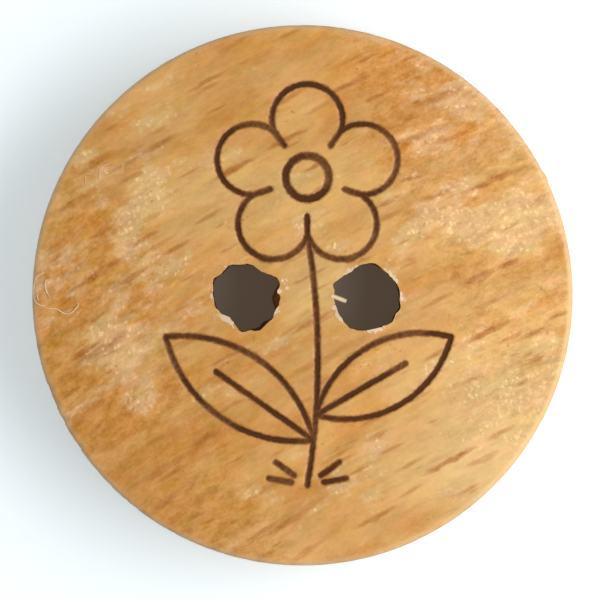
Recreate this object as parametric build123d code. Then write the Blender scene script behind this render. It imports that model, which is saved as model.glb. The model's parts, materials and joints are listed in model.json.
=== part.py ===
"""Round wooden sew-through button with two thread holes and a flower burnt into its face.

The button lies on its back on the plane z = 0, with the burnt face up. The origin is the middle of the
back face. +X runs along the pair of thread holes, and +Y points at the flower's head.
All lengths are in millimetres and all angles in degrees.
"""

import os

from build123d import *

# Turned blank
button_diameter = 18.0
button_thickness = 3.5
face_edge_radius = 0.2
back_edge_radius = 0.2

# Thread holes, drilled as a pair a little off the middle of the blank
hole_diameter = 2.2
hole_bridge = 1.8  # wood left between the holes, which the thread goes over
hole_pair_shift_x = 0.15
hole_pair_shift_y = -0.07

# Burnt line, a shallow trench with sloping walls and a flat floor
line_width = 0.24  # of a drawn line, at the face
ring_line_width = 0.3  # of the heavier ring in the flower's middle, at the face
line_floor_width = 0.08  # of a drawn line, at its floor
line_depth = 0.06
cut_overrun = 0.2  # how far each cutter stands past the surface that it cuts

# Flower, measured from the middle of the hole pair
flower_rise = 4.0  # up to the flower's middle
petal_count = 5
petal_reach = 3.1  # from the flower's middle to a petal's tip
petal_notch_reach = 1.9  # from the flower's middle to the notch between two petals
petal_crease_length = 0.6  # of the short line that runs in from each notch
flower_ring_radius = 0.72
top_petal_angle = 90.0

# Stem, from the flower's lowest notch down to its foot
stem_foot_drop = 6.25  # from the middle of the hole pair down to the foot
stem_bow = 0.35  # how far the stem bends sideways

# Leaves, each a pair of arcs from the stem to the leaf's tip, with a rib between them
left_leaf_length = 6.0
left_leaf_angle = 145.0
left_leaf_belly = 1.15  # height of each arc above the leaf's middle line
left_leaf_stem_share = 0.82  # how far down the stem the leaf starts
right_leaf_length = 5.2
right_leaf_angle = 30.0
right_leaf_belly = 1.1
right_leaf_stem_share = 0.72
leaf_rib_share = 0.66  # of the leaf's length

# Tuft of short bars beside the stem's foot
tuft_angles = (10.0, 36.0, 144.0, 170.0)
tuft_start = 0.55  # from the foot to the near end of a bar
tuft_length = 0.75


def turned_blank():
    """The plain disc, with both rims rounded."""
    disc = Cylinder(
        button_diameter / 2, button_thickness, align=(Align.CENTER, Align.CENTER, Align.MIN)
    )
    face_rim = disc.edges().filter_by(GeomType.CIRCLE).sort_by(Axis.Z)[-1]
    disc = fillet(face_rim, face_edge_radius)
    back_rim = disc.edges().filter_by(GeomType.CIRCLE).sort_by(Axis.Z)[0]
    return fillet(back_rim, back_edge_radius)


def hole_pair_middle():
    """The point on the back face midway between the two thread holes."""
    return Vector(hole_pair_shift_x, hole_pair_shift_y)


def hole_reach():
    """How far each hole's axis lies from the middle of the pair."""
    return (hole_diameter + hole_bridge) / 2


def thread_holes():
    """Drills for the two thread holes, side by side along X."""
    drill = Cylinder(hole_diameter / 2, button_thickness + 2 * cut_overrun)
    middle = hole_pair_middle()
    return [
        Pos(middle.X + side * hole_reach(), middle.Y, button_thickness / 2) * drill for side in (-1, 1)
    ]


def trench_half_widths(width):
    """Half the trench's width at its floor and at the top of its cutter."""
    wall_run = (line_width - line_floor_width) / 2
    floor = width / 2 - wall_run
    top = width / 2 + wall_run * cut_overrun / line_depth
    return floor, top


def trench_along(path, width):
    """Cutter for a burnt line along one flat arc or straight line, without its ends."""
    floor, top = trench_half_widths(width)
    start = path @ 0
    heading = path % 0
    across = Plane(
        origin=(start.X, start.Y, button_thickness),
        x_dir=Vector(0, 0, 1).cross(heading),
        z_dir=heading,
    )
    outline = Polyline(
        (-floor, -line_depth), (floor, -line_depth), (top, cut_overrun), (-top, cut_overrun), close=True
    )
    return sweep(across * make_face(outline), path=Pos(Z=button_thickness) * path)


def trench_end(point, width):
    """Cutter for the round end of a burnt line."""
    floor, top = trench_half_widths(width)
    burr = Cone(
        floor, top, line_depth + cut_overrun, align=(Align.CENTER, Align.CENTER, Align.MIN)
    )
    return Pos(point.X, point.Y, button_thickness - line_depth) * burr


def flower_middle():
    return hole_pair_middle() + Vector(0, flower_rise)


def from_flower(reach, angle):
    """The point at that distance and angle from the flower's middle."""
    return flower_middle() + Vector(reach, 0).rotate(Axis.Z, angle)


def petal_lines():
    """One arc round each petal, and the crease that runs in from the notch after it."""
    lines = []
    half_step = 180 / petal_count
    for number in range(petal_count):
        tip_angle = top_petal_angle + 2 * half_step * number
        notch_before = from_flower(petal_notch_reach, tip_angle - half_step)
        notch_after = from_flower(petal_notch_reach, tip_angle + half_step)
        crease_end = from_flower(petal_notch_reach - petal_crease_length, tip_angle + half_step)
        lines.append(ThreePointArc(notch_before, from_flower(petal_reach, tip_angle), notch_after))
        lines.append(Line(notch_after, crease_end))
    return lines


def ring_line():
    """The heavier ring in the flower's middle."""
    return CenterArc(flower_middle(), flower_ring_radius, 0, 360)


def stem_foot():
    return hole_pair_middle() - Vector(0, stem_foot_drop)


def stem_line():
    """The bowed stem, from the notch under the flower to its foot."""
    return SagittaArc(from_flower(petal_notch_reach, top_petal_angle + 180), stem_foot(), stem_bow)


def leaf_lines(stem_share, length, angle, belly):
    """The two edges and the rib of a leaf that starts on the stem."""
    base = stem_line() @ stem_share
    along = Vector(length, 0).rotate(Axis.Z, angle)
    tip = base + along
    rib_end = base + along * leaf_rib_share
    return [SagittaArc(base, tip, belly), SagittaArc(base, tip, -belly), Line(base, rib_end)]


def tuft_lines():
    """Short bars that fan out on both sides of the stem's foot."""
    near = Vector(tuft_start, 0)
    far = Vector(tuft_start + tuft_length, 0)
    foot = stem_foot()
    return [
        Line(foot + near.rotate(Axis.Z, angle), foot + far.rotate(Axis.Z, angle))
        for angle in tuft_angles
    ]


def drawing_lines():
    """Every drawn line but the ring."""
    return [
        *petal_lines(),
        stem_line(),
        *leaf_lines(left_leaf_stem_share, left_leaf_length, left_leaf_angle, left_leaf_belly),
        *leaf_lines(right_leaf_stem_share, right_leaf_length, right_leaf_angle, right_leaf_belly),
        *tuft_lines(),
    ]


def burnt_drawing():
    """Cutters for every burnt line, with an end that several lines share made once."""
    lines = drawing_lines()
    ends = [vertex for line in lines for vertex in line.vertices()]
    places = {(round(end.X, 6), round(end.Y, 6)): end for end in ends}
    return [
        *(trench_along(line, line_width) for line in lines),
        *(trench_end(place, line_width) for place in places.values()),
        trench_along(ring_line(), ring_line_width),
    ]


def button():
    """The finished button, one piece of wood."""
    wood = turned_blank()
    for cutter in [*thread_holes(), *burnt_drawing()]:
        wood = wood - cutter
    return wood


os.makedirs("parts", exist_ok=True)
export_step(button(), "parts/button.step")
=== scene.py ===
"""Looks of a round wooden sew-through button with a flower burnt into its face.

The button's mesh is made from the fixed frame: its form is divided finely, its thread holes and rim are
torn and nicked as drilled and turned wood is, and its finish is lacquered wood with burnt lines. Lengths
and places are in millimetres, and become metres where a mesh, a light or the camera takes them.
"""

import json
import math
from typing import NamedTuple

import bpy
import numpy as np
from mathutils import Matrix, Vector, noise
from mathutils.bvhtree import BVHTree


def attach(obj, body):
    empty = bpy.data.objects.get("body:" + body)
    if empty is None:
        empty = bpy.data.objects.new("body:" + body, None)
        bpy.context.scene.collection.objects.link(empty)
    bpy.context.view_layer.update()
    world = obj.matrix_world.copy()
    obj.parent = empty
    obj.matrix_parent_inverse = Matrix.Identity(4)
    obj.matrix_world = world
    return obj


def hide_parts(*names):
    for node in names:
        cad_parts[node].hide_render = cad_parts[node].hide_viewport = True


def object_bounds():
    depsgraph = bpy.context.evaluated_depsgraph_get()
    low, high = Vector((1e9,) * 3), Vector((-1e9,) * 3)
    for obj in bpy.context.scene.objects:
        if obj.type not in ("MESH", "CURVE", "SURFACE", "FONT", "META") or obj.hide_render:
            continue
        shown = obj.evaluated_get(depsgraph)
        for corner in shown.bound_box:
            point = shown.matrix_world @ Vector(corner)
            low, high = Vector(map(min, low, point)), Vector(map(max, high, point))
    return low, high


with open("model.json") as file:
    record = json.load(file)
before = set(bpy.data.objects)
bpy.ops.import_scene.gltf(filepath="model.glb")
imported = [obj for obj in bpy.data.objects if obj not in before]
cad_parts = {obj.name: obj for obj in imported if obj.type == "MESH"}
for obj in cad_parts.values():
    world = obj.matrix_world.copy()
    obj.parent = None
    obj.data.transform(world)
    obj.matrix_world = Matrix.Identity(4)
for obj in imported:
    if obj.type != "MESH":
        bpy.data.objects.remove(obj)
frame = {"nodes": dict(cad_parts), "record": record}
CAD_LOW, CAD_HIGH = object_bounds()

bl_info = {
    "name": "Wooden Button",
    "version": (1, 0, 0),
    "blender": (4, 5, 0),
    "location": "View3D > Sidebar > Button",
    "description": "Dresses a turned and burnt wooden button, and sets its stage",
    "category": "Object",
}

MM = 0.001
CAD_NODE = "button"
BODY = "root"
IMAGE_SIZE = 600

# The button's radius and the height of its face
RADIUS = CAD_HIGH.x / MM
FACE = CAD_HIGH.z / MM

# How near a point lies to a surface that it counts as part of
ON_PLANE = 1e-4
ON_WALL = 0.02

# Where edges are short, and how much longer they may be for each millimetre further away
RIM_BAND = 0.35
MOUTH_BAND = 0.3
LINE_BAND = 0.1
PITCH_GROWTH = 0.3
LINE_PITCH_GROWTH = 0.4
LONGEST_SHARE = 1.45  # of the pitch, past which an edge is split
MOST_SPLITS = 10


class Tear(NamedTuple):
    """A torn stretch of a thread hole's mouth."""

    angle: float  # of its middle, in degrees round the hole
    width: float  # to each side of its middle, in degrees
    push: float  # outwards from the drilled circle
    pale: float  # how much bare fibre shows, from 0 to 1


LEFT_HOLE_TEARS = (
    Tear(152, 24, 0.16, 0.1),
    Tear(121, 22, 0.11, 0.5),
    Tear(62, 24, -0.11, 0.2),
    Tear(28, 16, 0.10, 0.1),
    Tear(10, 8, -0.07, 0.9),
    Tear(-25, 15, -0.06, 0.7),
    Tear(-69, 15, 0.08, 0.0),
    Tear(-96, 16, 0.07, 0.0),
    Tear(-131, 34, -0.20, 1.0),
    Tear(175, 13, 0.05, 0.8),
)
RIGHT_HOLE_TEARS = (
    Tear(158, 15, 0.10, 0.1),
    Tear(122, 24, -0.09, 0.8),
    Tear(80, 16, 0.05, 0.0),
    Tear(44, 28, -0.07, 0.7),
    Tear(3, 18, -0.02, 0.8),
    Tear(-18, 12, 0.07, 0.2),
    Tear(-45, 15, 0.08, 0.0),
    Tear(-78, 24, -0.02, 0.9),
    Tear(-118, 26, 0.07, 0.0),
    Tear(-153, 27, 0.00, 1.0),
)
HOLE_TEARS = (LEFT_HOLE_TEARS, RIGHT_HOLE_TEARS)

# How far from a hole's wall the face is looked at and moved, and how deep its pale lip goes
TEAR_FIELD = 0.6
TEAR_REACH = 0.42
LIP_DEPTH = 0.25
FLAP_SHARE = 0.7  # of the tear depth, how far down the wall a tear inwards goes


class Dent(NamedTuple):
    """A stretch of a round wall that is moved towards its axis, or with a minus away from it."""

    angle: float  # of its middle, in degrees round the wall
    width: float  # to each side of its middle, in degrees
    depth: float


# Where the wall of the left hole bulges below its mouth
LEFT_HOLE_BULGES = (Dent(-2.0, 34.0, 0.27), Dent(-62.0, 30.0, 0.13))
BULGE_START = 0.1  # below the face
BULGE_GROWTH = 0.7  # over which a bulge reaches its full depth
BULGE_END = 0.05  # above the back

# Chips in the rim
RIM_CHIPS = (
    Dent(200.5, 1.6, 0.10),
    Dent(203.4, 1.4, 0.08),
    Dent(207.5, 1.2, 0.06),
    Dent(214.0, 1.2, 0.06),
    Dent(26.0, 1.8, -0.05),
)

# Where the rim is nicked the most, in degrees, and how far from the outline and down the side nicks go
NICKED_ANGLE = 220
NICKED_WIDTH = 60
NICK_REACH = 0.3
NICK_DROP = 0.9
NICK_SQUEEZE = (1, 1, 0.35)  # of the nicks' pattern, which makes them taller than wide

# Crumbs of torn fibre beside the left hole: place on the face and radius
CRUMBS = ((-0.69, 0.49, 0.08), (-0.52, 0.53, 0.08), (-0.52, 0.25, 0.08), (-0.61, 0.37, 0.06))

# Splinter that reaches into the right hole: places, the last number the depth below the face
SPLINTER = ((0.95, -0.02, 0.06), (1.08, -0.06, 0.07), (1.27, -0.13, 0.09), (1.44, -0.20, 0.12))

# Fibres that stand off the face at the left, each a run of places on the face
RAISED_FIBRES = (
    (
        (-8.58, 0.79), (-8.74, 0.71), (-8.86, 0.61), (-8.93, 0.44), (-8.95, 0.21), (-8.95, 0.00),
        (-8.93, -0.17), (-8.85, -0.27), (-8.73, -0.34), (-8.58, -0.36),
    ),
    (
        (-8.60, -0.40), (-8.42, -0.45), (-8.25, -0.44), (-8.11, -0.49), (-8.00, -0.58), (-7.83, -0.64),
        (-7.65, -0.56), (-7.56, -0.45), (-7.44, -0.32), (-7.50, -0.23),
    ),
    (
        (-8.25, 0.48), (-8.36, 0.51), (-8.47, 0.52), (-8.55, 0.49), (-8.58, 0.41), (-8.56, 0.27),
        (-8.53, 0.14), (-8.48, 0.04), (-8.43, -0.05),
    ),
    ((-8.78, 0.27), (-8.75, 0.21), (-8.71, 0.15)),
    ((-8.33, -0.09), (-8.26, -0.10), (-8.18, -0.10)),
    ((-8.85, 0.06), (-8.83, -0.07), (-8.78, -0.19)),
    ((-6.75, 4.22), (-6.76, 4.02), (-6.75, 3.83)),
    ((-6.70, 4.29), (-6.55, 4.36), (-6.38, 4.39)),
    ((-6.63, 4.17), (-6.55, 4.18), (-6.47, 4.17)),
    ((-7.24, 4.03), (-7.12, 4.05), (-7.01, 4.03)),
    ((-7.21, 4.00), (-7.22, 3.85), (-7.23, 3.70)),
)
FIBRE_SINK_SHARE = 0.3  # of a fibre's width, from the face up to its middle line
FIBRE_TIP_SHARE = 0.35  # of a fibre's width, left at its ends


class Ray(NamedTuple):
    """A long dark ray in the grain of the face."""

    x: float
    y: float
    length: float
    width: float
    dark: float  # from 0 to 1


RAYS = (
    Ray(-2.3, 4.2, 2.3, 0.26, 0.9),
    Ray(-0.5, 5.2, 2.2, 0.26, 0.85),
    Ray(-3.2, 7.1, 2.0, 0.24, 0.6),
    Ray(-0.4, 6.6, 1.6, 0.26, 0.6),
    Ray(-4.8, 5.0, 2.1, 0.32, 0.65),
    Ray(-5.2, 1.9, 1.4, 0.24, 0.65),
    Ray(-6.7, 2.1, 1.3, 0.28, 0.6),
    Ray(-7.6, 3.1, 2.1, 0.28, 0.6),
    Ray(-6.7, 0.8, 2.3, 0.36, 0.65),
    Ray(-4.2, 1.6, 1.2, 0.26, 0.65),
    Ray(-6.8, 4.5, 1.5, 0.34, 0.5),
    Ray(1.5, 7.0, 2.4, 0.24, 0.75),
    Ray(4.7, 6.65, 1.9, 0.36, 0.65),
    Ray(6.5, 3.9, 3.2, 0.34, 0.8),
    Ray(0.4, 4.3, 1.2, 0.22, 0.7),
    Ray(2.8, 3.1, 1.5, 0.22, 0.6),
    Ray(2.1, 7.85, 1.3, 0.22, 0.55),
    Ray(5.8, 0.6, 1.5, 0.36, 0.85),
    Ray(6.85, 1.05, 1.2, 0.28, 1.0),
    Ray(-7.3, -1.9, 1.7, 0.34, 0.7),
    Ray(-3.3, -4.8, 1.4, 0.26, 0.6),
    Ray(-4.6, -6.9, 1.4, 0.30, 0.6),
    Ray(-0.5, -7.55, 2.5, 0.30, 0.6),
    Ray(-2.4, -3.7, 1.4, 0.22, 0.55),
    Ray(0.3, -0.9, 2.2, 0.28, 0.75),
    Ray(6.2, -1.2, 2.3, 0.30, 0.8),
    Ray(4.6, -1.9, 1.7, 0.24, 0.7),
    Ray(4.9, -5.5, 2.7, 0.28, 0.85),
    Ray(2.4, -7.4, 2.0, 0.28, 0.75),
    Ray(2.0, -5.75, 1.5, 0.26, 0.6),
    Ray(2.5, -4.65, 1.4, 0.26, 0.65),
    Ray(7.8, -2.1, 1.1, 0.28, 0.6),
)
RAY_DEPTH = 0.6
RAY_FRAY = 0.2  # how far the edge of a ray wanders, from one side to the other


class Patch(NamedTuple):
    """A part of the face with a tone or finish of its own."""

    x: float
    y: float
    reach: float
    amount: float


# Where the wood is redder, or with a minus yellower
AMBER_PATCHES = (
    Patch(-5.5, -6.0, 4.8, 0.08),
    Patch(3.5, 6.9, 4.4, 0.21),
    Patch(5.4, 5.0, 3.0, 0.06),
    Patch(-5.3, -0.4, 1.7, 0.14),
    Patch(-6.9, 2.2, 1.4, 0.12),
    Patch(-8.2, -0.2, 1.8, 0.16),
    Patch(-6.4, -3.9, 1.6, 0.12),
    Patch(0.3, 3.6, 3.4, -0.20),
    Patch(-3.4, 3.4, 2.8, -0.14),
    Patch(0.5, 0.2, 2.6, -0.14),
    Patch(6.5, -5.0, 5.5, -0.16),
)

# Where the face is paler: paler wood, and in the large patch at the lower right partly painted sheen
PALE_AND_SHEEN_PATCHES = (
    # Partly paler wood, partly painted sheen
    Patch(6.2, -5.2, 5.2, 0.62),
    Patch(-3.2, 3.2, 2.6, 0.25),
    Patch(0.5, 0.4, 2.2, 0.40),
    Patch(-1.2, 3.4, 2.0, 0.20),
    Patch(0.0, -8.6, 1.8, 0.25),
)

# Where the lacquer is thinner and the wood crumbly, or with a minus thicker and smooth
THIN_LACQUER = (
    Patch(-7.9, 1.4, 1.4, 0.16),
    Patch(-6.4, -1.7, 1.9, 0.26),
    Patch(-5.3, -3.3, 1.4, 0.22),
    Patch(-5.0, 3.0, 1.5, 0.18),
    Patch(-6.0, 2.2, 1.2, 0.18),
    Patch(-5.0, 1.0, 1.0, 0.14),
    Patch(-7.1, 4.2, 1.0, 0.16),
    Patch(7.2, 2.0, 2.4, 0.18),
    Patch(5.6, 6.2, 1.5, 0.14),
    Patch(6.8, -3.0, 2.6, 0.15),
    Patch(5.0, 2.6, 1.8, 0.12),
    Patch(-5.2, -6.2, 4.6, -0.20),
    Patch(0.0, 7.6, 4.6, -0.12),
    Patch(0.0, -3.5, 3.6, -0.10),
)

# How unevenly a patch ends, and over what length that changes
PATCH_WANDER = 0.7
PATCH_WANDER_PITCH = 1.3

# How much thicker the lacquer is on the side and back, and how far below the face that starts
SIDE_LACQUER = 0.25
SIDE_START = 0.8

# How burnt the edge of a line is, where its floor is 1
EDGE_SCORCH = 0.3

# How much of the rim's pale band, rubbed wear with painted highlight, or of a torn lip shows bare wood
WEAR_STRENGTH = 0.9

# How far the uneven wood stands out, and how strongly that shows
RELIEF_HEIGHT = 0.02
RELIEF_STRENGTH = 0.8

# How rough the surface of bare fibre is
FIBRE_ROUGHNESS = 0.6

# Angle past which an edge of the mesh stays sharp
SHARP_ANGLE = math.radians(45)

# The floor's width, how far it lies below the back, and its roughness
FLOOR_WIDTH = 1000.0
FLOOR_GAP = 0.01
FLOOR_ROUGHNESS = 0.9

# How fast the grain turns along its length, in radians a millimetre
GRAIN_TURN = 0.0112


class Cloud(NamedTuple):
    """A cloudy pattern in the wood."""

    along: float  # pattern steps in a millimetre along the grain
    across: float  # the same across the grain, on the face
    deep: float  # the same into the wood
    detail: float = 2.0
    roughness: float = 0.5
    shift: float = 0.0


AMBER_CLOUD = Cloud(0.42, 1.0, 0.8, 5.0, 0.62, 2.0)
ROUGH_CLOUD = Cloud(0.65, 1.3, 1.0, 4.0, 0.62, 9.0)
TONE_CLOUD = Cloud(1.0, 1.9, 1.5, 3.0, 0.6, 13.0)
MOTTLE = Cloud(0.8, 2.6, 3.0, 5.0, 0.65)
BANDS = Cloud(0.07, 0.75, 0.75)
SIDE_LINES = Cloud(0.2, 3.0, 4.5, 3.0, 0.6, 21.0)
FLECK_FRAY = Cloud(2.0, 7.0, 2.0)
FLECK_BREAKS = Cloud(1.4, 3.0, 1.5, 2.0, 0.6, 7.0)
GRIT = Cloud(6.5, 8.0, 8.0, 2.0, 0.7)
CURD = Cloud(2.2, 3.6, 2.5, 3.0, 0.6, 15.0)
OPEN_GRAIN = Cloud(0.4, 0.6, 0.5, 1.0, 0.5, 11.0)

# Crumbs in a millimetre of thin lacquer
CRUMB_STEPS = 5.5

# Pores: the size of their cells, the share of the cells that have one, and how dark they are
PORE_PITCH = 0.17
PORE_SHARE = 0.45
PORE_DARKNESS = 0.6
PORE_SHIFT = 4.4

# How much redder the wood gets for each millimetre along the grain
AMBER_DRIFT = -0.008

# How much lighter or darker grit, curd and crumbs make the wood, in red, green and blue: partly their own
# tone, partly painted glints of the rough lacquer
SPECKLE_AND_GLINT_TINT = (0.74, 0.51, 0.26)
SPECKLE_AND_GLINT_CONTRAST = 0.4


class Flecks(NamedTuple):
    """Short dark rays, one in each cell of that length and width along the grain."""

    length: float
    width: float
    share: float  # of the cells that have one
    dark: float  # from 0 to 1
    shift: float


LONG_FLECKS = Flecks(3.2, 0.40, 0.3, 0.45, 3.1)
SHORT_FLECKS = Flecks(1.7, 0.26, 0.4, 0.55, 8.7)
FLECK_FLATNESS = 1.3  # how many times thinner than wide a fleck is


def number_setting(name, description, default):
    return bpy.props.FloatProperty(name=name, description=description, default=default)


def share_setting(name, description, default):
    return bpy.props.FloatProperty(
        name=name, description=description, default=default, min=0, max=1, subtype="FACTOR"
    )


def place_setting(name, description, default):
    return bpy.props.FloatVectorProperty(
        name=name, description=description, default=default, size=len(default)
    )


def colour_setting(name, description, default):
    return bpy.props.FloatVectorProperty(
        name=name, description=description, default=default, subtype="COLOR", size=3, min=0, max=1
    )


class ButtonShape(bpy.types.PropertyGroup):
    """How finely the button is divided, and how far its edges are torn. Lengths are in millimetres."""

    fine_pitch: number_setting("Fine pitch", "Edge length at burnt lines and hole mouths", 0.067)
    rim_pitch: number_setting("Rim pitch", "Edge length at the face's rim", 0.115)
    plain_pitch: number_setting("Plain pitch", "Edge length on the rest of the face and the side", 0.22)
    back_pitch: number_setting("Back pitch", "Edge length on the back", 0.42)
    scorch_reach: number_setting("Scorch reach", "How far the browning goes past a burnt line", 0.07)
    # Painted shade: how far the walls of the holes are darkened with the burnt-line colours, as the shade
    # inside them
    painted_wall_shade: share_setting("Drill scorch", "How much the drill burnt the walls of the holes", 0.7)
    tear_depth: number_setting("Tear depth", "How far the torn mouth of a hole reaches down its wall", 0.35)
    tear_roughness: number_setting("Tear roughness", "How ragged the mouth of a hole is", 0.035)
    lip_width: number_setting("Lip width", "Width of the bare fibres along a torn mouth", 0.19)
    lip_rise: number_setting("Lip rise", "How far the bare fibres stand above the face", 0.03)
    splinter_width: number_setting("Splinter width", "Thickness of the splinter in the right hole", 0.17)
    nick_depth: number_setting("Nick depth", "Depth of the small nicks in the rim", 0.03)
    # The rim's pale band: rubbed wear, and painted highlight that also lightens the shaded side of the rim
    wear_and_highlight_reach: number_setting("Wear reach", "How far from the rim the lacquer is rubbed pale", 0.25)
    fibre_width: number_setting("Fibre width", "Thickness of a raised fibre", 0.043)


class WoodFinish(bpy.types.PropertyGroup):
    """Colours and grain of the lacquered wood and its burnt lines."""

    grain_angle: bpy.props.FloatProperty(
        name="Grain angle", description="Direction of the grain on the face",
        default=math.radians(28.5), subtype="ANGLE",
    )
    tan_wood: colour_setting("Tan wood", "Colour of the yellower wood", (0.71, 0.381, 0.116))
    amber_wood: colour_setting("Amber wood", "Colour of the redder wood", (0.628, 0.268, 0.044))
    rough_wood: colour_setting(
        "Rough wood", "Colour of the paler patches where the lacquer is thin", (0.835, 0.535, 0.255)
    )
    pink_tone: colour_setting("Pink tone", "Tint of the wood where it is pinker", (1.0, 0.955, 1.0))
    yellow_tone: colour_setting("Yellow tone", "Tint of the wood where it is yellower", (0.96, 1.0, 0.915))
    fleck: colour_setting("Fleck", "Colour of the dark rays in the grain", (0.40, 0.125, 0.012))
    # The two burnt-line colours below also paint shade on the walls of the holes
    scorch_edge_and_wall_shade: colour_setting(
        "Scorched edge", "Colour of the browned wood along a burnt line", (0.28, 0.105, 0.018)
    )
    scorch_core_and_wall_shade: colour_setting("Scorched core", "Colour at the floor of a burnt line", (0.082, 0.023, 0.002))
    torn_wood: colour_setting("Torn wood", "Colour of bare torn fibres at the holes", (0.80, 0.59, 0.41))
    # Partly rubbed wear, partly painted highlight: this pale band also lightens the rim where it is in shade
    rim_wear_and_highlight: colour_setting(
        "Worn wood", "Colour of the rim, where the lacquer is rubbed away", (0.84, 0.56, 0.28)
    )
    bare_fibre: colour_setting("Bare fibre", "Colour of raised fibres and the splinter", (0.84, 0.62, 0.39))
    lacquer_roughness: share_setting("Lacquer roughness", "Roughness of the satin lacquer", 0.45)
    lacquer_gloss: share_setting("Lacquer gloss", "How strongly the lacquer reflects", 0.42)


class StageSettings(bpy.types.PropertyGroup):
    """Light, floor and camera. Lengths are in millimetres."""

    key_power: bpy.props.FloatProperty(
        name="Key power", description="Power of the softbox at the right", default=0.0292, unit="POWER"
    )
    key_place: place_setting("Key place", "Where the softbox stands", (30.8, -3.0, 39.9))
    key_size: place_setting("Key size", "Width and height of the softbox", (75.0, 34.0))
    edge_power: bpy.props.FloatProperty(
        name="Edge power", description="Power of the low softbox at the left", default=0.0036, unit="POWER"
    )
    edge_place: place_setting("Edge place", "Where the low softbox stands", (-45.4, 12.2, 17.1))
    edge_size: place_setting("Edge size", "Width and height of the low softbox", (60.0, 20.0))
    fill: colour_setting("Fill", "Light from all round", (0.28, 0.30, 0.315))
    floor_colour: colour_setting("Floor", "Colour of the floor", (0.86, 0.88, 0.88))
    # Painted shade: the floor under the button is coloured dark, as the button's shade seen through its holes
    painted_shade_under_button: colour_setting(
        "Covered floor", "Colour of the floor under the button, seen through its holes", (0.30, 0.29, 0.28)
    )
    floor_lift: colour_setting(
        "Floor lift", "How much whiter the camera sees the floor", (0.305, 0.370, 0.396)
    )
    # Painted light: a faint warm glow that the camera sees on the painted shade under the button
    painted_glow_under_button: colour_setting(
        "Covered lift", "How much lighter the camera sees the floor through the holes", (0.065, 0.043, 0.027)
    )
    disc_pixels: number_setting("Disc pixels", "Width of the button in the picture", 541.0)
    disc_column: number_setting("Disc column", "Pixel column of the button's middle", 302.1)
    disc_row: number_setting("Disc row", "Pixel row of the button's middle", 294.8)
    lens: bpy.props.FloatProperty(
        name="Lens", description="Focal length of the camera", default=420.0, unit="CAMERA"
    )


class ButtonFrame:
    """What the fixed frame says about the button's flats, holes and burnt lines."""

    def __init__(self):
        mesh = frame["nodes"][CAD_NODE].data
        points = vertex_array(mesh)
        reach = np.hypot(points[:, 0], points[:, 1])
        self.flat_radius = reach[points[:, 2] > FACE - ON_PLANE].max()
        self.back_radius = reach[points[:, 2] < ON_PLANE].max()
        bores = [mount for mount in frame["record"]["mounts"] if mount["kind"] == "bore"]
        self.holes = [
            (bore["pos_m"][0] / MM, bore["pos_m"][1] / MM, bore["dims"]["r_mm"]) for bore in bores
        ]
        faces = self.trench_faces(mesh, points)
        self.trench = BVHTree.FromPolygons([Vector(point) for point in points], faces)
        self.trench_depth = FACE - min(points[list(face), 2].min() for face in faces)

    def trench_faces(self, mesh, points):
        """The walls and floors of the burnt lines: what looks up from below the face, inside the rim."""
        faces = []
        for polygon in mesh.polygons:
            middle = points[list(polygon.vertices)].mean(axis=0)
            inside = math.hypot(middle[0], middle[1]) < self.flat_radius
            if inside and polygon.normal.z > 0.1 and middle[2] < FACE - 10 * ON_PLANE:
                faces.append(tuple(polygon.vertices))
        return faces

    def trench_distance(self, points):
        """How far each point lies from the nearest burnt line."""
        return np.array([self.trench.find_nearest(Vector(point))[3] for point in points])


def vertex_array(mesh):
    """The mesh's points as rows, in millimetres."""
    flat = np.empty(len(mesh.vertices) * 3)
    mesh.vertices.foreach_get("co", flat)
    return flat.reshape(-1, 3) / MM


def set_vertices(mesh, points):
    mesh.vertices.foreach_set("co", (points * MM).ravel())
    mesh.update()


def write_attribute(mesh, name, values):
    attribute = mesh.attributes.new(name, "FLOAT", "POINT")
    attribute.data.foreach_set("value", values.astype(np.float32))


def fade(distance, reach):
    """1 at no distance, falling smoothly to 0 at that reach."""
    share = np.clip(1 - distance / reach, 0, 1)
    return share * share * (3 - 2 * share)


def ripple(points, pitch, seed):
    """Smooth noise from -1 to 1, with features of about that pitch."""
    shift = Vector((seed * 17.3, seed * 5.1, seed * 9.7))
    return np.array([noise.noise(Vector(point) / pitch + shift) for point in points])


def turn_gap(angle, middle):
    """How far apart two directions are, in degrees."""
    return np.abs((angle - middle + 180) % 360 - 180)


def around(points, x, y):
    """Each point's place seen from that axis, its distance from it and its angle round it in degrees."""
    across = points[:, :2] - (x, y)
    reach = np.hypot(across[:, 0], across[:, 1])
    return across, reach, np.degrees(np.arctan2(across[:, 1], across[:, 0]))


def only(obj):
    """Makes obj the one that is selected and active."""
    bpy.ops.object.select_all(action="DESELECT")
    obj.select_set(True)
    bpy.context.view_layer.objects.active = obj


def merged_copy(node, name):
    """A new object with the node's mesh, its loose triangles joined up."""
    mesh = frame["nodes"][node].data.copy()
    mesh.materials.clear()
    copy = bpy.data.objects.new(name, mesh)
    bpy.context.scene.collection.objects.link(copy)
    only(copy)
    bpy.ops.object.mode_set(mode="EDIT")
    bpy.ops.mesh.select_all(action="SELECT")
    bpy.ops.mesh.remove_doubles(threshold=ON_PLANE * MM)
    bpy.ops.mesh.customdata_custom_splitnormals_clear()
    bpy.ops.object.mode_set(mode="OBJECT")
    return copy


def long_edges(mesh, pitch_at):
    """Which edges are too long for the place that they are in."""
    points = vertex_array(mesh)
    ends = np.empty(len(mesh.edges) * 2, int)
    mesh.edges.foreach_get("vertices", ends)
    first, second = points[ends[0::2]], points[ends[1::2]]
    length = np.linalg.norm(first - second, axis=1)
    return length > LONGEST_SHARE * pitch_at((first + second) / 2, length)


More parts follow.
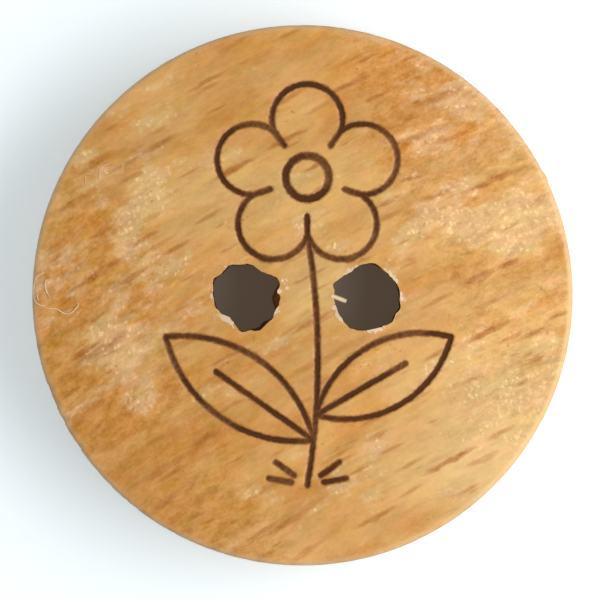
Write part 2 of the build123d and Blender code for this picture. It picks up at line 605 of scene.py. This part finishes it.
def divide(obj, pitch_at):
    """Splits edges and turns triangles until no edge is much longer than the pitch at its place."""
    mesh = obj.data
    only(obj)
    bpy.context.tool_settings.mesh_select_mode = (False, True, False)
    for _ in range(MOST_SPLITS):
        chosen = long_edges(mesh, pitch_at)
        if not chosen.any():
            break
        mesh.vertices.foreach_set("select", np.zeros(len(mesh.vertices), bool))
        mesh.polygons.foreach_set("select", np.zeros(len(mesh.polygons), bool))
        mesh.edges.foreach_set("select", chosen)
        bpy.ops.object.mode_set(mode="EDIT")
        bpy.ops.mesh.subdivide(number_cuts=1)
        bpy.ops.mesh.select_all(action="SELECT")
        bpy.ops.mesh.quads_convert_to_tris(quad_method="BEAUTY", ngon_method="BEAUTY")
        bpy.ops.mesh.beautify_fill(angle_limit=math.radians(2))
        bpy.ops.object.mode_set(mode="OBJECT")


def pitch_rule(shape, form):
    """How long an edge may be at each place: short at the rim, the hole mouths and the burnt lines."""

    def pitch_at(middles, length):
        pitch = np.where(middles[:, 2] < ON_WALL, shape.back_pitch, shape.plain_pitch)
        below = FACE - middles[:, 2]
        rim = np.hypot(np.hypot(middles[:, 0], middles[:, 1]) - RADIUS, below)
        pitch = np.minimum(pitch, shape.rim_pitch + PITCH_GROWTH * np.maximum(rim - RIM_BAND, 0))
        for x, y, radius in form.holes:
            _, reach, _ = around(middles, x, y)
            mouth = np.hypot(reach - radius, below)
            pitch = np.minimum(pitch, shape.fine_pitch + PITCH_GROWTH * np.maximum(mouth - MOUTH_BAND, 0))
        places = np.flatnonzero((below < MOUTH_BAND) & (length > shape.fine_pitch))
        gap = form.trench_distance(middles[places])
        fine = shape.fine_pitch + LINE_PITCH_GROWTH * np.maximum(gap - LINE_BAND, 0)
        pitch[places] = np.minimum(pitch[places], fine)
        return pitch

    return pitch_at


def round_off(points, form):
    """Brings the divided facets of the side, its rims and the holes out to their true round form."""
    reach = np.hypot(points[:, 0], points[:, 1])
    flat = np.where(points[:, 2] > FACE / 2, form.flat_radius, form.back_radius)
    rim = np.flatnonzero(reach > flat)
    flat, reach = flat[rim], reach[rim]
    edge = RADIUS - flat
    level = np.clip(points[rim, 2], edge, FACE - edge)
    stretch = edge / np.hypot(reach - flat, points[rim, 2] - level)
    points[rim, :2] *= ((flat + (reach - flat) * stretch) / reach)[:, None]
    points[rim, 2] = level + (points[rim, 2] - level) * stretch
    for x, y, radius in form.holes:
        across, reach, _ = around(points, x, y)
        wall = np.flatnonzero((reach > radius - ON_WALL) & (reach < radius + ON_PLANE))
        points[wall, :2] = (x, y) + across[wall] * (radius / reach[wall])[:, None]


def patchwork(points, patches):
    """The patches' amounts added up at each point, with uneven edges."""
    shift = np.stack([ripple(points, PATCH_WANDER_PITCH, seed) for seed in (61, 67)], axis=1)
    uneven = points[:, :2] + PATCH_WANDER * shift
    total = np.zeros(len(points))
    for patch in patches:
        away = np.hypot(uneven[:, 0] - patch.x, uneven[:, 1] - patch.y)
        total += patch.amount * fade(away, patch.reach)
    return total


def tear_hole_mouths(points, shape, form):
    """Tears the mouths of the thread holes, and says how much bare fibre shows at each point."""
    torn = np.zeros(len(points))
    below = FACE - points[:, 2]
    for number, (x, y, radius) in enumerate(form.holes):
        across, reach, angle = around(points, x, y)
        near = np.flatnonzero(reach < radius + TEAR_FIELD)
        from_edge = reach[near] - radius
        push = np.zeros(len(near))
        pale = np.zeros(len(near))
        for tear in HOLE_TEARS[number]:
            stretch = fade(turn_gap(angle[near], tear.angle), tear.width)
            hold = 1 if tear.push > 0 else fade(below[near], FLAP_SHARE * shape.tear_depth)
            push += tear.push * stretch * hold
            pale += tear.pale * stretch
        ragged = ripple(points[near], 0.12, number) + 0.8 * ripple(points[near], 0.3, number + 5)
        push += shape.tear_roughness * ragged * fade(below[near], shape.tear_depth)
        push *= fade(np.maximum(from_edge, 0), TEAR_REACH)
        points[near, :2] += across[near] / reach[near][:, None] * push[:, None]
        lip = fade(np.abs(from_edge), shape.lip_width) * fade(below[near], LIP_DEPTH) * np.clip(pale, 0, 1)
        points[near, 2] += shape.lip_rise * lip * (below[near] < ON_WALL)
        torn[near] = lip
    for x, y, radius in CRUMBS:
        _, reach, _ = around(points, x, y)
        crumb = np.flatnonzero((reach < radius) & (np.abs(below) < ON_WALL))
        rise = fade(reach[crumb], radius)
        points[crumb, 2] += shape.lip_rise * rise
        torn[crumb] = np.maximum(torn[crumb], rise)
    return torn


def bulge_left_hole(points, form):
    """Brings parts of the left hole's wall inwards below its torn mouth."""
    x, y, radius = form.holes[0]
    across, reach, angle = around(points, x, y)
    below = FACE - points[:, 2]
    between = (below > BULGE_START) & (points[:, 2] > BULGE_END)
    wall = np.flatnonzero(between & (np.abs(reach - radius) < ON_WALL))
    growth = 1 - fade(below[wall] - BULGE_START, BULGE_GROWTH)
    for bulge in LEFT_HOLE_BULGES:
        push = bulge.depth * fade(turn_gap(angle[wall], bulge.angle), bulge.width) * growth
        points[wall, :2] -= across[wall] / reach[wall][:, None] * push[:, None]


def nick_rim(points, shape, form):
    """Turns nicks and chips into the rim, and says how pale its edge is: rubbed wear, with painted highlight
    that also lightens the rim where it is in shade.
    """
    _, reach, angle = around(points, 0, 0)
    near = np.flatnonzero((reach > form.flat_radius - NICK_REACH) & (points[:, 2] > FACE / 2))
    reach, angle = reach[near], angle[near]
    below = FACE - points[near, 2]
    ring = points[near] * NICK_SQUEEZE
    deep = np.clip(ripple(ring, 0.16, 41) + 0.5 * ripple(ring, 0.4, 43) + 0.1, 0, 1)
    push = shape.nick_depth * deep * (0.4 + 0.6 * fade(turn_gap(angle, NICKED_ANGLE), NICKED_WIDTH))
    for chip in RIM_CHIPS:
        push += chip.depth * fade(turn_gap(angle, chip.angle), chip.width)
    hold = fade(RADIUS - reach, NICK_REACH) * fade(below, NICK_DROP)
    points[near, :2] *= (1 - push * hold / reach)[:, None]
    wear_and_highlight = np.zeros(len(points))
    corner = np.hypot(reach - RADIUS, below)
    # Pale band along the rim: rubbed wear, and painted highlight
    wear_and_highlight[near] = fade(corner, shape.wear_and_highlight_reach) * np.clip(0.85 + 0.6 * ripple(ring, 0.5, 47), 0, 1)
    return wear_and_highlight


def burn_and_wall_shade_of(points, shape, form):
    """How burnt each point is: 1 on a line's floor, less at its edge, 0 elsewhere, and on a drilled wall a
    set share that paints the shade inside the hole.
    """
    burn_and_wall_shade = np.zeros(len(points))
    near = np.flatnonzero(points[:, 2] > FACE - form.trench_depth - ON_PLANE)
    gap = form.trench_distance(points[near])
    depth = np.clip((FACE - points[near, 2]) / form.trench_depth, 0, 1)
    inside = np.hypot(points[near, 0], points[near, 1]) < form.flat_radius
    browned = EDGE_SCORCH * fade(gap, shape.scorch_reach)
    charred = (1 - EDGE_SCORCH) * depth * (gap < ON_WALL)
    burn_and_wall_shade[near] = inside * (browned + charred)
    # Painted shade: the walls of the holes get a share of the burnt-line colours, standing in for the shade
    # inside them
    for x, y, radius in form.holes:
        _, reach, _ = around(points, x, y)
        drilled = (np.abs(reach - radius) < ON_WALL) & (points[:, 2] < FACE - ON_WALL)
        burn_and_wall_shade[drilled] = shape.painted_wall_shade
    return burn_and_wall_shade


def lacquer_thinness(points):
    """How thin the lacquer is at each point, thickest on the side and back."""
    below = FACE - points[:, 2]
    return patchwork(points, THIN_LACQUER) - SIDE_LACQUER * (1 - fade(below, SIDE_START))


class NodeBench:
    """Adds nodes to one material and joins them up."""

    def __init__(self, name):
        self.material = bpy.data.materials.new(name)
        self.material.use_nodes = True
        self.tree = self.material.node_tree
        self.shader = self.tree.nodes["Principled BSDF"]

    def add(self, kind, inputs=None, **settings):
        """A new node with those settings, its inputs set or joined."""
        node = self.tree.nodes.new(kind)
        for name, value in settings.items():
            setattr(node, name, value)
        for name, value in (inputs or {}).items():
            self.feed(node.inputs[name], value)
        return node

    def feed(self, socket, value):
        """Joins the socket to value where that is a socket too, and sets it otherwise."""
        if isinstance(value, bpy.types.NodeSocket):
            self.tree.links.new(value, socket)
        else:
            socket.default_value = value

    def attribute(self, name):
        """A number that the mesh holds at each of its points."""
        return self.add("ShaderNodeAttribute", attribute_name=name).outputs["Fac"]

    def math(self, operation, first, second=0.0, third=0.0, clamp=False):
        names = {0: first, 1: second, 2: third}
        node = self.add("ShaderNodeMath", names, operation=operation, use_clamp=clamp)
        return node.outputs[0]

    def vector(self, operation, *values):
        node = self.add("ShaderNodeVectorMath", dict(enumerate(values)), operation=operation)
        return node.outputs["Value" if operation in ("LENGTH", "DOT_PRODUCT") else "Vector"]

    def part(self, vector, axis):
        """One of a vector's three numbers, by the name of its axis."""
        return self.add("ShaderNodeSeparateXYZ", {0: vector}).outputs[axis]

    def mapping(self, vector, kind="POINT", location=(0, 0, 0), rotation=(0, 0, 0), scale=(1, 1, 1)):
        names = {"Vector": vector, "Location": location, "Rotation": rotation, "Scale": scale}
        return self.add("ShaderNodeMapping", names, vector_type=kind).outputs[0]

    def blend(self, share, first, second):
        """One colour turning into another as share goes from 0 to 1."""
        names = {0: share, 6: first, 7: second}
        return self.add("ShaderNodeMix", names, data_type="RGBA", clamp_factor=True).outputs[2]

    def scale(self, colour, factor):
        names = {0: colour, "Scale": factor}
        return self.add("ShaderNodeVectorMath", names, operation="SCALE").outputs["Vector"]

    def span(self, value, low, high, to_low=0.0, to_high=1.0):
        """Value between low and high, smoothly brought to the span from to_low to to_high."""
        names = {"Value": value, "From Min": low, "From Max": high, "To Min": to_low, "To Max": to_high}
        return self.add("ShaderNodeMapRange", names, interpolation_type="SMOOTHSTEP").outputs[0]

    def cloud(self, vector, scale, detail=2.0, roughness=0.5):
        names = {"Vector": vector, "Scale": scale, "Detail": detail, "Roughness": roughness}
        return self.add("ShaderNodeTexNoise", names).outputs["Fac"]

    def shaken(self, vector, scale, reach, detail=1.0):
        """The vector moved about by noise of that scale, up to that reach each way."""
        names = {"Vector": vector, "Scale": scale, "Detail": detail}
        shake = self.add("ShaderNodeTexNoise", names).outputs["Color"]
        return self.vector("MULTIPLY_ADD", shake, reach, vector)

    def cells(self, vector):
        """Distance to the nearest cell's middle, and two random numbers of that cell."""
        node = self.add("ShaderNodeTexVoronoi", {"Vector": vector, "Scale": 1.0})
        split = self.add("ShaderNodeSeparateColor", {0: node.outputs["Color"]})
        return node.outputs["Distance"], split.outputs[0], split.outputs[1]


def opaque(colour):
    return (*colour, 1.0)


class Grain:
    """The spot on the button, and the wood's own gently bent axes along and across the grain."""

    def __init__(self, bench, angle):
        self.bench = bench
        self.angle = angle
        self.spot = bench.scale(bench.add("ShaderNodeTexCoord").outputs["Object"], 1 / MM)
        straight = bench.mapping(self.spot, rotation=(0.0, 0.0, -angle))
        along = bench.part(straight, "X")
        bend = bench.math("MULTIPLY", bench.math("MULTIPLY", along, along), GRAIN_TURN / 2)
        wander = bench.span(bench.cloud(straight, 0.16, detail=1.0), 0.2, 0.8, -0.1, 0.1)
        sideways = bench.add("ShaderNodeCombineXYZ", {1: bench.math("ADD", bend, wander)}).outputs[0]
        self.place = bench.vector("ADD", straight, sideways)
        self.shaken = bench.shaken(self.place, 5.0, (0.25, 0.25, 0.25))
        self.wavy = bench.shaken(self.place, 1.1, (0.0, 0.2, 0.2))

    def cloud(self, pattern):
        place = self.bench.mapping(
            self.place, location=(pattern.shift,) * 3, scale=(pattern.along, pattern.across, pattern.deep)
        )
        return self.bench.cloud(place, 1.0, pattern.detail, pattern.roughness)

    def heading(self, x, y):
        """The direction of the grain at a place on the face."""
        return self.angle - GRAIN_TURN * (x * math.cos(self.angle) + y * math.sin(self.angle))

    def drift(self, slope):
        """A slow change along the grain, 0 at the middle of the blank, with that slope in a millimetre."""
        return self.bench.vector("DOT_PRODUCT", self.place, (slope, 0.0, 0.0))


def ray_layer(bench, grain):
    """The long rays of the face, each a thin frayed spindle along the grain."""
    spot = bench.shaken(grain.spot, 2.6, (RAY_FRAY, RAY_FRAY, 0.0), detail=2.0)
    layer = 0.0
    for ray in RAYS:
        place = bench.mapping(
            spot, "TEXTURE",
            location=(ray.x + RAY_FRAY / 2, ray.y + RAY_FRAY / 2, FACE),
            rotation=(0.0, 0.0, grain.heading(ray.x, ray.y)),
            scale=(ray.length / 2, ray.width / 2, RAY_DEPTH),
        )
        away = bench.vector("LENGTH", place)
        layer = bench.math("MAXIMUM", layer, bench.span(away, 0.3, 1.0, ray.dark, 0.0))
    return layer


def fleck_layer(bench, grain, flecks):
    """Short rays along the grain, frayed and of several sizes, and how dark each is."""
    place = bench.mapping(
        grain.wavy,
        location=(flecks.shift,) * 3,
        scale=(1 / flecks.length, 1 / flecks.width, FLECK_FLATNESS / flecks.width),
    )
    distance, chance, size = bench.cells(place)
    fray = bench.span(grain.cloud(FLECK_FRAY), 0.25, 0.75, -0.1, 0.1)
    radius = bench.math("ADD", bench.span(size, 0.0, 1.0, 0.25, 0.5), fray)
    middle = bench.math("SUBTRACT", 1.0, bench.math("DIVIDE", distance, radius), clamp=True)
    shown = bench.span(chance, 1 - flecks.share, 1.2 - flecks.share)
    return bench.math("MULTIPLY", bench.math("MULTIPLY", bench.span(middle, 0.0, 0.7), shown), flecks.dark)


def pore_layer(bench, grain):
    """Ragged round pores, one in each of a share of small cells, where the grain is open."""
    steps = 1 / PORE_PITCH
    place = bench.mapping(grain.shaken, location=(PORE_SHIFT,) * 3, scale=(steps, 1.2 * steps, steps))
    distance, chance, size = bench.cells(place)
    radius = bench.span(size, 0.0, 1.0, 0.2, 0.5)
    middle = bench.math("SUBTRACT", 1.0, bench.math("DIVIDE", distance, radius), clamp=True)
    shown = bench.math("GREATER_THAN", bench.math("ADD", chance, PORE_SHARE), 1.0)
    pores = bench.math("MULTIPLY", bench.span(middle, 0.0, 1.0), shown)
    return bench.math("MULTIPLY", pores, bench.span(grain.cloud(OPEN_GRAIN), 0.56, 0.64))


def speckled_with_glints(bench, colour, amount):
    """The colour made lighter or darker by that amount, alike in its red, green and blue as they look: the
    wood's speckle, partly painted glints.
    """
    return bench.vector("ADD", bench.scale(SPECKLE_AND_GLINT_TINT, amount), colour)


def toned_wood(bench, grain, finish, rough):
    """Tan wood, redder, paler or pinker in places."""
    redder = bench.attribute("amber")
    amber = bench.math("ADD", grain.drift(AMBER_DRIFT), grain.cloud(AMBER_CLOUD))
    amber = bench.span(bench.math("ADD", amber, redder), 0.3, 0.7)
    colour = bench.blend(amber, opaque(finish.tan_wood), opaque(finish.amber_wood))
    # Paler wood and rough patches, with painted sheen at the lower right
    pale = bench.math("MAXIMUM", bench.math("MULTIPLY", rough, 0.65), bench.attribute("pale"))
    colour = bench.blend(pale, colour, opaque(finish.rough_wood))
    tone = bench.math("MULTIPLY_ADD", redder, -0.8, grain.cloud(TONE_CLOUD))
    tone = bench.span(tone, 0.35, 0.65)
    tint = bench.blend(tone, opaque(finish.pink_tone), opaque(finish.yellow_tone))
    return bench.vector("MULTIPLY", colour, tint)


def wood_shade(bench, grain):
    """How light the wood is: soft mottling, broad bands, and fine lines on the side and back."""
    mottle = bench.span(grain.cloud(MOTTLE), 0.2, 0.8, 0.87, 1.13)
    bands = bench.span(grain.cloud(BANDS), 0.3, 0.7, 0.95, 1.05)
    lines = bench.math("SUBTRACT", grain.cloud(SIDE_LINES), 0.5)
    on_side = bench.span(bench.part(grain.spot, "Z"), FACE - 0.7, FACE - 0.15, 0.6, 0.0)
    return bench.math("MULTIPLY_ADD", lines, on_side, bench.math("MULTIPLY", mottle, bands))


def crumbly(bench, grain, rough, thin):
    """How far fine grit, soft curd and crumbs stand above the wood or below it, most at the grain's ends."""
    rough_ends = bench.span(bench.math("ABSOLUTE", grain.drift(1.0)), 2.0, 6.5)
    coarse = bench.span(bench.math("MULTIPLY_ADD", thin, 3.0, rough_ends), 0.0, 1.0)
    grit = bench.math("SUBTRACT", grain.cloud(GRIT), 0.5)
    grit = bench.math("MULTIPLY", grit, bench.span(coarse, 0.0, 1.0, 0.35, 0.9))
    curd = bench.math("SUBTRACT", grain.cloud(CURD), 0.5)
    curd = bench.math("MULTIPLY", curd, bench.span(coarse, 0.0, 1.0, 0.5, 1.7))
    away, chance, _ = bench.cells(bench.scale(grain.shaken, CRUMB_STEPS))
    crumb = bench.math("MULTIPLY", bench.span(away, 0.0, 0.65, 1.0, 0.0), bench.span(chance, 0.0, 1.2))
    crumb = bench.math("MULTIPLY", bench.math("SUBTRACT", crumb, 0.15), rough)
    return bench.math("ADD", bench.math("MULTIPLY_ADD", crumb, 1.2, grit), curd)


def wood_colour(bench, grain, finish):
    """The wood's colour, with dark rays, pores and pale crumbly patches, and its relief."""
    thin = bench.attribute("thin")
    rough = bench.span(bench.math("ADD", grain.cloud(ROUGH_CLOUD), thin), 0.5, 0.68)
    colour = bench.scale(toned_wood(bench, grain, finish, rough), wood_shade(bench, grain))
    long_flecks = fleck_layer(bench, grain, LONG_FLECKS)
    short_flecks = fleck_layer(bench, grain, SHORT_FLECKS)
    flecks = bench.math("MAXIMUM", long_flecks, short_flecks)
    broken = bench.span(grain.cloud(FLECK_BREAKS), 0.38, 0.58, 0.75, 1.0)
    dark = bench.math("MULTIPLY", bench.math("MAXIMUM", flecks, ray_layer(bench, grain)), broken)
    colour = bench.blend(dark, colour, opaque(finish.fleck))
    uneven = crumbly(bench, grain, rough, thin)
    # Pale and dark speckle of grit, curd and crumbs, partly their own tone and partly painted glints
    colour = speckled_with_glints(bench, colour, bench.math("MULTIPLY", uneven, SPECKLE_AND_GLINT_CONTRAST))
    pores = bench.math("MULTIPLY", pore_layer(bench, grain), PORE_DARKNESS)
    colour = bench.blend(pores, colour, opaque(finish.fleck))
    relief = bench.math("MULTIPLY", uneven, 0.8)
    return colour, bench.math("SUBTRACT", relief, bench.math("MULTIPLY", flecks, 0.5))


def burnt(bench, grain, finish, colour):
    """Browns the wood along the burnt lines and chars their floors, unevenly along each line; the same
    colours paint shade on the walls of the holes.
    """
    burn_and_wall_shade = bench.attribute("burn_and_wall_shade")
    fray = bench.span(bench.cloud(grain.place, 7.0, detail=3.0), 0.2, 0.8, -0.16, 0.16)
    frayed = bench.math("MULTIPLY_ADD", fray, bench.span(burn_and_wall_shade, 0.0, EDGE_SCORCH), burn_and_wall_shade)
    heat = bench.cloud(grain.place, 0.5, detail=2.0)
    colour = bench.blend(bench.span(frayed, 0.04, 0.62), colour, opaque(finish.scorch_edge_and_wall_shade))
    charring_and_wall_shade = bench.span(frayed, 0.42, bench.span(heat, 0.35, 0.65, 1.35, 0.8))
    return bench.blend(charring_and_wall_shade, colour, opaque(finish.scorch_core_and_wall_shade)), charring_and_wall_shade


def bared(bench, grain, finish, colour):
    """Shows bare torn fibre along the mouths of the holes, with a ragged edge."""
    torn = bench.attribute("torn")
    ragged = bench.span(bench.cloud(grain.place, 7.0, detail=2.0, roughness=0.6), 0.25, 0.75, -0.5, 0.5)
    bare = bench.math("MULTIPLY_ADD", ragged, bench.span(torn, 0.0, 0.2), torn)
    bare = bench.math("MULTIPLY", bench.span(bare, 0.3, 0.55), WEAR_STRENGTH)
    return bench.blend(bare, colour, opaque(finish.torn_wood))


def wood_material(finish):
    """Satin-lacquered wood, rubbed pale at the rim with painted highlight there, with burnt lines, painted
    shade on the walls of the holes, and bare torn fibres at their mouths.
    """
    bench = NodeBench("lacquered_wood")
    grain = Grain(bench, finish.grain_angle)
    colour, relief = wood_colour(bench, grain, finish)
    # The rim's pale band: rubbed wear, and painted highlight
    wear_and_highlight = bench.math("MULTIPLY", bench.attribute("wear_and_highlight"), WEAR_STRENGTH)
    colour = bench.blend(wear_and_highlight, colour, opaque(finish.rim_wear_and_highlight))
    colour, charring_and_wall_shade = burnt(bench, grain, finish, colour)
    colour = bared(bench, grain, finish, colour)
    gloss = bench.span(charring_and_wall_shade, 0.0, 1.0, finish.lacquer_roughness, 1.0)
    names = {"Strength": RELIEF_STRENGTH, "Distance": RELIEF_HEIGHT * MM, "Height": relief}
    bump = bench.add("ShaderNodeBump", names)
    bench.feed(bench.shader.inputs["Base Color"], colour)
    bench.feed(bench.shader.inputs["Roughness"], gloss)
    bench.feed(bench.shader.inputs["Normal"], bump.outputs[0])
    bench.shader.inputs["Specular IOR Level"].default_value = finish.lacquer_gloss
    return bench.material


def fibre_material(finish):
    """Bare wood fibre, a little uneven along its length, and painted darker below the face as the shade
    inside the hole.
    """
    bench = NodeBench("bare_fibre")
    grain = Grain(bench, finish.grain_angle)
    uneven = bench.span(bench.cloud(grain.place, 6.0), 0.3, 0.7, 0.85, 1.1)
    # Painted shade: fibres and the splinter are darkened below the face, as if shaded by the hole's wall
    depth = bench.span(bench.part(grain.spot, "Z"), FACE - 0.15, FACE + 0.02, 0.45, 1.0)
    colour = bench.scale(finish.bare_fibre, bench.math("MULTIPLY", uneven, depth))
    bench.feed(bench.shader.inputs["Base Color"], colour)
    bench.shader.inputs["Roughness"].default_value = FIBRE_ROUGHNESS
    return bench.material


class BUTTON_OT_turn(bpy.types.Operator):
    """Makes the wooden button from its CAD form, torn, nicked and burnt as the real one is"""

    bl_idname = "button.turn"
    bl_label = "Turn the button"

    def execute(self, context):
        shape = context.scene.button_shape
        form = ButtonFrame()
        piece = merged_copy(CAD_NODE, "turned_button")
        divide(piece, pitch_rule(shape, form))
        points = vertex_array(piece.data)
        round_off(points, form)
        looks = {"burn_and_wall_shade": burn_and_wall_shade_of(points, shape, form)}
        bulge_left_hole(points, form)
        looks["torn"] = tear_hole_mouths(points, shape, form)
        looks["amber"] = patchwork(points, AMBER_PATCHES)
        # Paler wood, with painted sheen at the lower right
        looks["pale"] = patchwork(points, PALE_AND_SHEEN_PATCHES)
        looks["thin"] = lacquer_thinness(points)
        looks["wear_and_highlight"] = nick_rim(points, shape, form)
        set_vertices(piece.data, points)
        for name, values in looks.items():
            write_attribute(piece.data, name, values)
        only(piece)
        bpy.ops.object.shade_smooth_by_angle(angle=SHARP_ANGLE)
        piece.data.materials.append(wood_material(context.scene.wood_finish))
        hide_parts(CAD_NODE)
        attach(piece, BODY)
        return {"FINISHED"}


class BUTTON_OT_fibres(bpy.types.Operator):
    """Lays raised wood fibres on the face at the left, and the splinter in the right hole"""

    bl_idname = "button.fibres"
    bl_label = "Raise the fibres"

    def execute(self, context):
        shape = context.scene.button_shape
        button = bpy.data.objects["turned_button"]
        surface = BVHTree.FromObject(button, context.evaluated_depsgraph_get())
        curve = bpy.data.curves.new("raised_fibres", "CURVE")
        curve.dimensions = "3D"
        curve.resolution_u = 6
        curve.bevel_depth = shape.fibre_width / 2 * MM
        curve.bevel_resolution = 1
        curve.use_fill_caps = True
        for run in RAISED_FIBRES:
            self.lay_fibre(curve, run, surface, shape)
        self.set_splinter(curve, shape)
        piece = bpy.data.objects.new("raised_fibres", curve)
        context.scene.collection.objects.link(piece)
        only(piece)
        bpy.ops.object.convert(target="MESH")
        bpy.ops.object.shade_smooth()
        piece.data.materials.append(fibre_material(context.scene.wood_finish))
        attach(piece, BODY)
        return {"FINISHED"}

    def lay_fibre(self, curve, run, surface, shape):
        """One smooth run over the places, resting on the face, thinner at both ends."""
        places = []
        for x, y in run:
            above = Vector((x * MM, y * MM, 2 * CAD_HIGH.z))
            height = surface.ray_cast(above, Vector((0, 0, -1)))[0].z
            places.append((above.x, above.y, height + FIBRE_SINK_SHARE * shape.fibre_width * MM))
        middles = [1.0] * (len(run) - 2)
        self.add_spline(curve, places, [FIBRE_TIP_SHARE, *middles, FIBRE_TIP_SHARE])

    def set_splinter(self, curve, shape):
        """The blunt splinter out of the wall of the right hole."""
        places = [(x * MM, y * MM, CAD_HIGH.z - below * MM) for x, y, below in SPLINTER]
        self.add_spline(curve, places, [shape.splinter_width / shape.fibre_width] * len(places))

    def add_spline(self, curve, places, widths):
        """A smooth line along the places, each with its width as a share of a fibre's."""
        spline = curve.splines.new("NURBS")
        spline.points.add(len(places) - 1)
        for point, place, width in zip(spline.points, places, widths):
            point.co = (*place, 1)
            point.radius = width
        spline.order_u = 3
        spline.use_endpoint_u = True


class BUTTON_OT_stage(bpy.types.Operator):
    """Sets the pale floor, two softboxes, the light from all round and the camera above the button"""

    bl_idname = "button.stage"
    bl_label = "Set the stage"

    def execute(self, context):
        settings = context.scene.button_stage
        self.lay_floor(settings)
        self.hang_softbox("key_softbox", settings.key_place, settings.key_size, settings.key_power)
        self.hang_softbox("edge_softbox", settings.edge_place, settings.edge_size, settings.edge_power)
        self.light_room(settings)
        self.place_camera(settings)
        context.scene.view_settings.view_transform = "Standard"
        return {"FINISHED"}

    def lay_floor(self, settings):
        """A wide pale floor that the camera sees whiter, painted dark under the button as the button's shade
        seen through its holes, with a faint painted glow there.
        """
        bpy.ops.object.select_all(action="DESELECT")
        bpy.ops.mesh.primitive_plane_add(size=FLOOR_WIDTH * MM, location=(0, 0, -FLOOR_GAP * MM))
        floor = bpy.context.object
        floor.name = "floor"
        bpy.ops.object.transform_apply(location=True, rotation=False, scale=False)
        bench = NodeBench("floor_paper")
        bench.shader.inputs["Roughness"].default_value = FLOOR_ROUGHNESS
        bench.shader.inputs["Specular IOR Level"].default_value = 0.0
        reach = bench.vector("LENGTH", bench.add("ShaderNodeTexCoord").outputs["Object"])
        # 0 under the button, where the floor is painted dark as its shade, and 1 outside it
        outside = bench.span(reach, 0.9 * CAD_HIGH.x, 0.95 * CAD_HIGH.x)
        colour = bench.blend(outside, opaque(settings.painted_shade_under_button), opaque(settings.floor_colour))
        bench.feed(bench.shader.inputs["Base Color"], colour)
        seen = bench.add("ShaderNodeLightPath").outputs["Is Camera Ray"]
        # Under the button the camera sees a faint painted glow in place of the whitening lift
        lift = bench.blend(outside, opaque(settings.painted_glow_under_button), opaque(settings.floor_lift))
        bench.feed(bench.shader.inputs["Emission Color"], lift)
        bench.feed(bench.shader.inputs["Emission Strength"], seen)
        floor.data.materials.append(bench.material)

    def hang_softbox(self, name, place, size, power):
        """A softbox aimed at the button, which the camera doesn't see."""
        place = Vector(place) * MM
        bpy.ops.object.light_add(type="AREA", location=place)
        softbox = bpy.context.object
        softbox.name = name
        softbox.rotation_euler = (-place).to_track_quat("-Z", "Y").to_euler()
        softbox.data.energy = power
        softbox.data.shape = "RECTANGLE"
        softbox.data.size = size[0] * MM
        softbox.data.size_y = size[1] * MM
        softbox.visible_camera = False

    def light_room(self, settings):
        """Even light from all round, which the camera sees as a white backdrop."""
        world = bpy.data.worlds.new("room")
        bpy.context.scene.world = world
        world.use_nodes = True
        tree = world.node_tree
        background = tree.nodes["Background"]
        path = tree.nodes.new("ShaderNodeLightPath")
        colour = tree.nodes.new("ShaderNodeMix")
        colour.data_type = "RGBA"
        colour.inputs[6].default_value = opaque(settings.fill)
        colour.inputs[7].default_value = (1.0, 1.0, 1.0, 1.0)
        tree.links.new(path.outputs["Is Camera Ray"], colour.inputs[0])
        tree.links.new(colour.outputs[2], background.inputs["Color"])

    def place_camera(self, settings):
        """Straight above the button, framed as in the photograph."""
        data = bpy.data.cameras.new("camera")
        camera = bpy.data.objects.new("camera", data)
        bpy.context.scene.collection.objects.link(camera)
        data.lens = settings.lens
        pixel = 2 * CAD_HIGH.x / settings.disc_pixels
        middle = (IMAGE_SIZE - 1) / 2
        height = pixel * IMAGE_SIZE * data.lens / data.sensor_width
        camera.location = (
            (middle - settings.disc_column) * pixel,
            (settings.disc_row - middle) * pixel,
            CAD_HIGH.z + height,
        )
        data.clip_start = 0.1 * height
        bpy.context.scene.camera = camera


class BUTTON_PT_tools(bpy.types.Panel):
    """Lists the button's steps and settings"""

    bl_idname = "BUTTON_PT_tools"
    bl_label = "Wooden Button"
    bl_space_type = "VIEW_3D"
    bl_region_type = "UI"
    bl_category = "Button"

    def draw(self, context):
        scene = context.scene
        for group in (scene.button_shape, scene.wood_finish, scene.button_stage):
            box = self.layout.box()
            for name in group.__annotations__:
                box.prop(group, name)
        for operator in OPERATORS:
            self.layout.operator(operator.bl_idname)


GROUPS = {"button_shape": ButtonShape, "wood_finish": WoodFinish, "button_stage": StageSettings}
OPERATORS = (BUTTON_OT_turn, BUTTON_OT_fibres, BUTTON_OT_stage)
CLASSES = (*GROUPS.values(), *OPERATORS, BUTTON_PT_tools)


def register():
    for each in CLASSES:
        bpy.utils.register_class(each)
    for name, group in GROUPS.items():
        setattr(bpy.types.Scene, name, bpy.props.PointerProperty(type=group))


def unregister():
    for name in GROUPS:
        delattr(bpy.types.Scene, name)
    for each in reversed(CLASSES):
        bpy.utils.unregister_class(each)


def main():
    register()
    bpy.ops.button.turn()
    bpy.ops.button.fibres()
    bpy.ops.button.stage()


if __name__ == "__main__":
    main()
